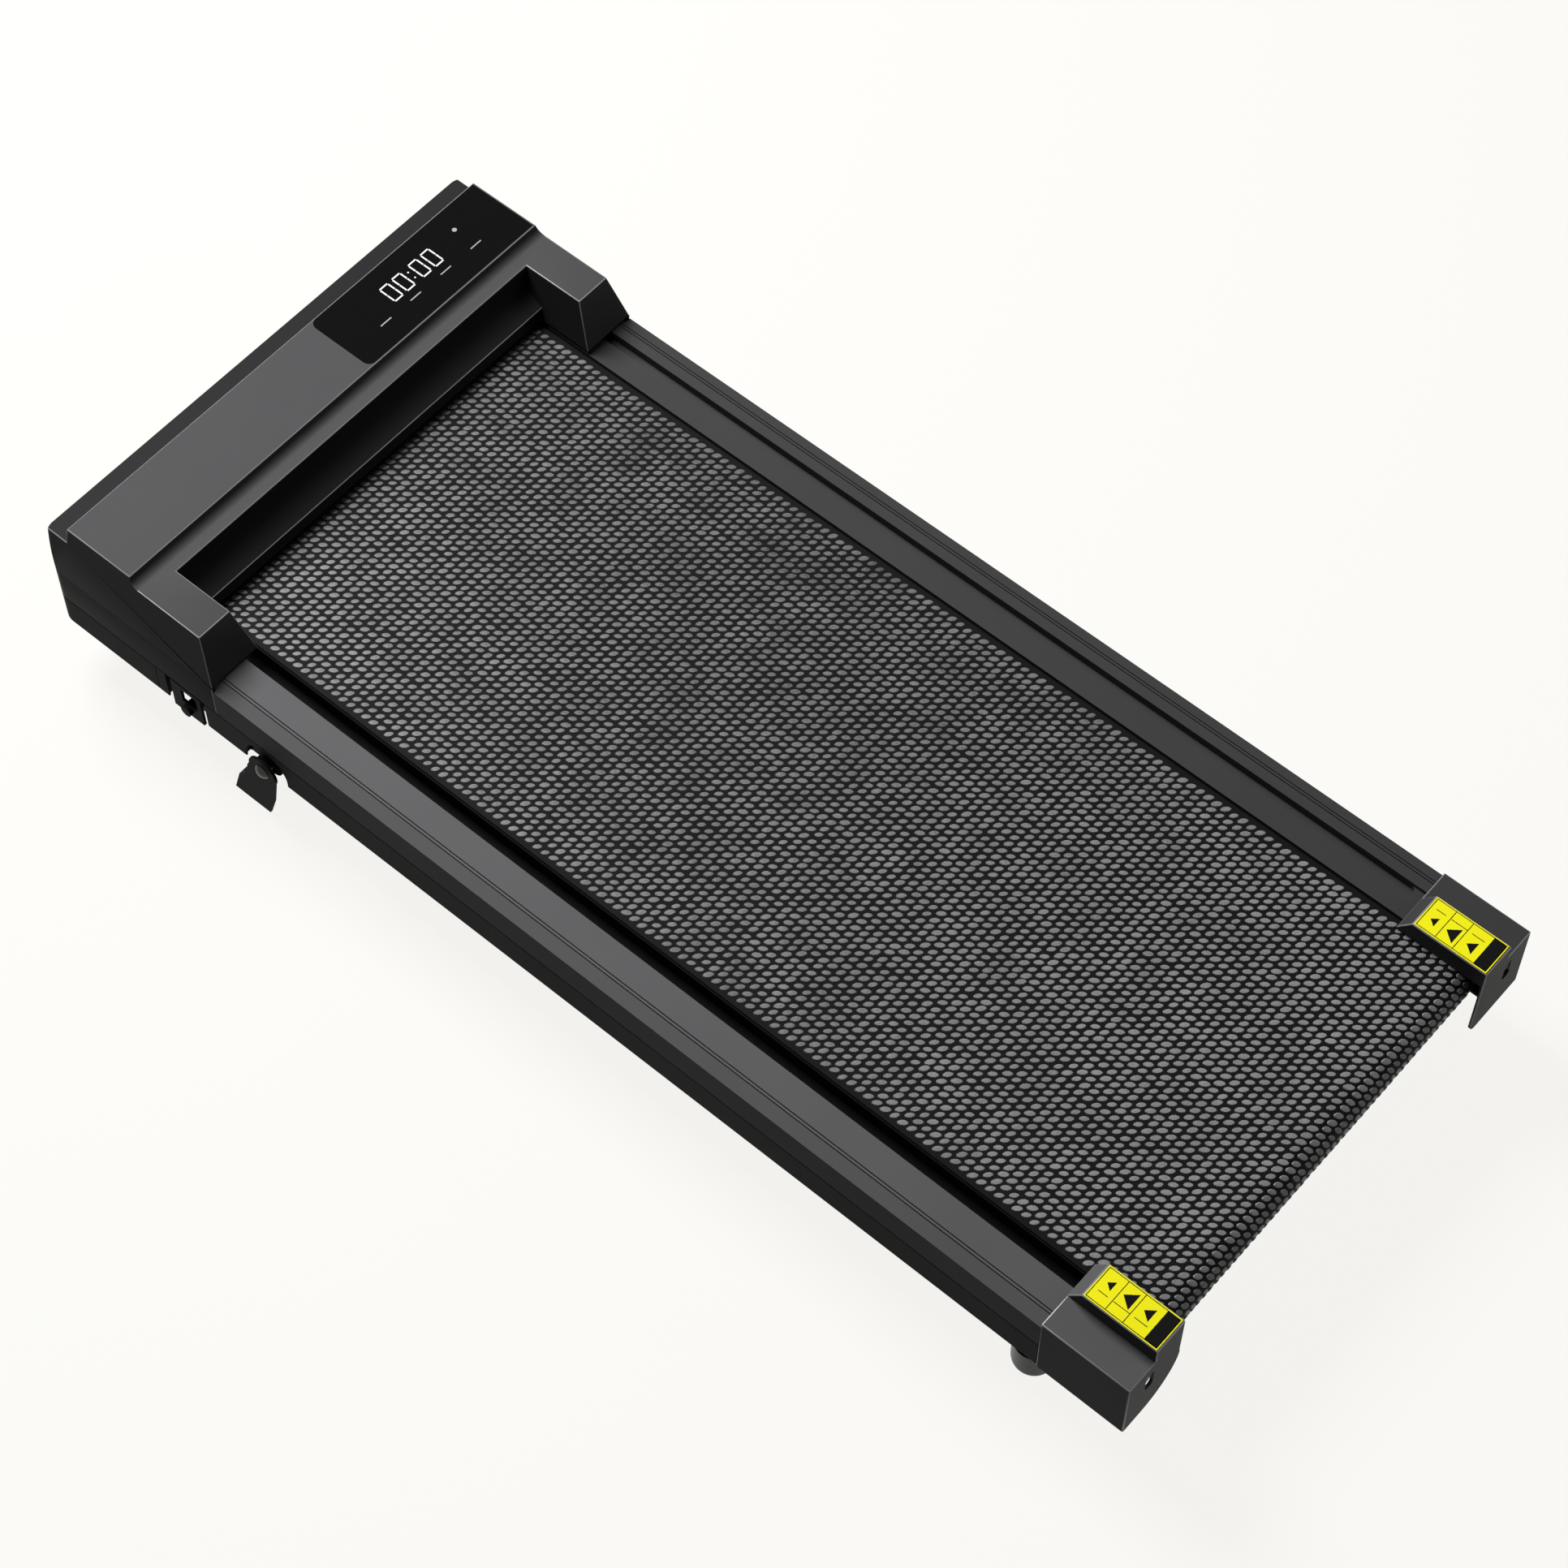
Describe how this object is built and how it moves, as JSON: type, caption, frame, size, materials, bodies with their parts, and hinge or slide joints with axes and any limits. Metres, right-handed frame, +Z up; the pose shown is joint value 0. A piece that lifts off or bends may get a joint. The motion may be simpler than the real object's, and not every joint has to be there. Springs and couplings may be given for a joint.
{
  "type": "walking pad",
  "caption": "Low under-desk treadmill with a flat motor hood, glossy display, woven running belt, side rails, folding incline feet and transport wheels.",
  "frame": {"origin": "centre of the whole part's bounding box, on the floor", "axes": "+X across the belt to the display side, +Y along the belt to the motor hood, +Z up"},
  "size_m": [0.5806, 1.25, 0.204],
  "materials": {
    "belt_rubber": "woven-look tread, satin",
    "deck_board": "waxed dark laminate",
    "black_rubber": "satin",
    "painted_steel": "satin black powder coat",
    "zinc_steel": "zinc plated",
    "bright_steel": "turned",
    "rail_plastic": "fine grain, matte",
    "dark_plastic": "fine grain, matte",
    "hood_plastic": "fine grain, matte",
    "gloss_black": "gloss",
    "marker_yellow": "printed vinyl, satin",
    "board_green": "solder mask",
    "cast_alloy": "machined"
  },
  "bodies": {
    "frame": {"running_belt": "belt_rubber", "running_deck": "deck_board", "deck_cushions": "black_rubber", "left_side_beam": "painted_steel", "right_side_beam": "painted_steel", "cross_tube_1": "painted_steel", "cross_tube_2": "painted_steel", "cross_tube_3": "painted_steel", "cross_tube_4": "painted_steel", "cross_tube_5": "painted_steel", "left_foot_rail": "rail_plastic", "right_foot_rail": "rail_plastic", "left_lower_skirt": "dark_plastic", "right_lower_skirt": "dark_plastic", "left_end_cap": "dark_plastic", "right_end_cap": "dark_plastic", "left_marker_strip": "marker_yellow", "right_marker_strip": "marker_yellow", "hood_cover": "hood_plastic", "display_lens": "gloss_black", "display_board": "board_green", "base_pan": "dark_plastic", "motor_plate": "zinc_steel", "motor_can": "painted_steel", "motor_saddle": "zinc_steel", "drive_belt": "belt_rubber", "controller_board": "board_green", "controller_heatsink": "cast_alloy", "front_roller_axle": "bright_steel", "rear_roller_axle": "bright_steel", "belt_adjusters": "zinc_steel", "power_inlet": "gloss_black", "power_switch_frame": "gloss_black", "left_wheel_axle": "bright_steel", "right_wheel_axle": "bright_steel", "left_wheel_bracket": "painted_steel", "right_wheel_bracket": "painted_steel", "left_foot_pin": "zinc_steel", "right_foot_pin": "zinc_steel", "left_foot_lug": "painted_steel", "right_foot_lug": "painted_steel", "left_rear_foot": "black_rubber", "right_rear_foot": "black_rubber", "rear_skid_blocks": "black_rubber"},
    "front_roller": {"front_roller_tube": "bright_steel", "front_roller_pulley": "dark_plastic"},
    "rear_roller": {"rear_roller_tube": "bright_steel"},
    "motor_rotor": {"motor_shaft": "bright_steel", "motor_pulley": "cast_alloy", "motor_fan": "dark_plastic"},
    "left_wheel": {"left_transport_wheel": "black_rubber"},
    "right_wheel": {"right_transport_wheel": "black_rubber"},
    "left_foot": {"left_incline_foot": "painted_steel"},
    "right_foot": {"right_incline_foot": "painted_steel"},
    "power_rocker": {"power_switch_rocker": "gloss_black"}
  },
  "joints": [
    {"name": "front_roller_spin", "type": "hinge", "parent": "frame", "child": "front_roller", "pos_m": [0, 0.5, 0.1157], "axis": [1, 0, 0], "continuous": true},
    {"name": "rear_roller_spin", "type": "hinge", "parent": "frame", "child": "rear_roller", "pos_m": [0, -0.59, 0.1157], "axis": [1, 0, 0], "continuous": true},
    {"name": "motor_spin", "type": "hinge", "parent": "frame", "child": "motor_rotor", "pos_m": [-0.2, 0.572, 0.1075], "axis": [1, 0, 0], "continuous": true},
    {"name": "left_wheel_roll", "type": "hinge", "parent": "frame", "child": "left_wheel", "pos_m": [-0.251, 0.455, 0.067], "axis": [1, 0, 0], "continuous": true},
    {"name": "right_wheel_roll", "type": "hinge", "parent": "frame", "child": "right_wheel", "pos_m": [0.251, 0.455, 0.067], "axis": [1, 0, 0], "continuous": true},
    {"name": "left_foot_fold", "type": "hinge", "parent": "frame", "child": "left_foot", "pos_m": [-0.266, 0.355, 0.07], "axis": [-1, 0, 0], "range_deg": [0, 105]},
    {"name": "right_foot_fold", "type": "hinge", "parent": "frame", "child": "right_foot", "pos_m": [0.266, 0.355, 0.07], "axis": [-1, 0, 0], "range_deg": [0, 105]},
    {"name": "power_rocker_tip", "type": "hinge", "parent": "frame", "child": "power_rocker", "pos_m": [0.14, 0.619, 0.129], "axis": [1, 0, 0], "range_deg": [0, 14]}
  ],
  "couplings": [
    {"joint": "rear_roller_spin", "follows": "front_roller_spin", "ratio": 1},
    {"joint": "motor_spin", "follows": "front_roller_spin", "ratio": 2}
  ]
}
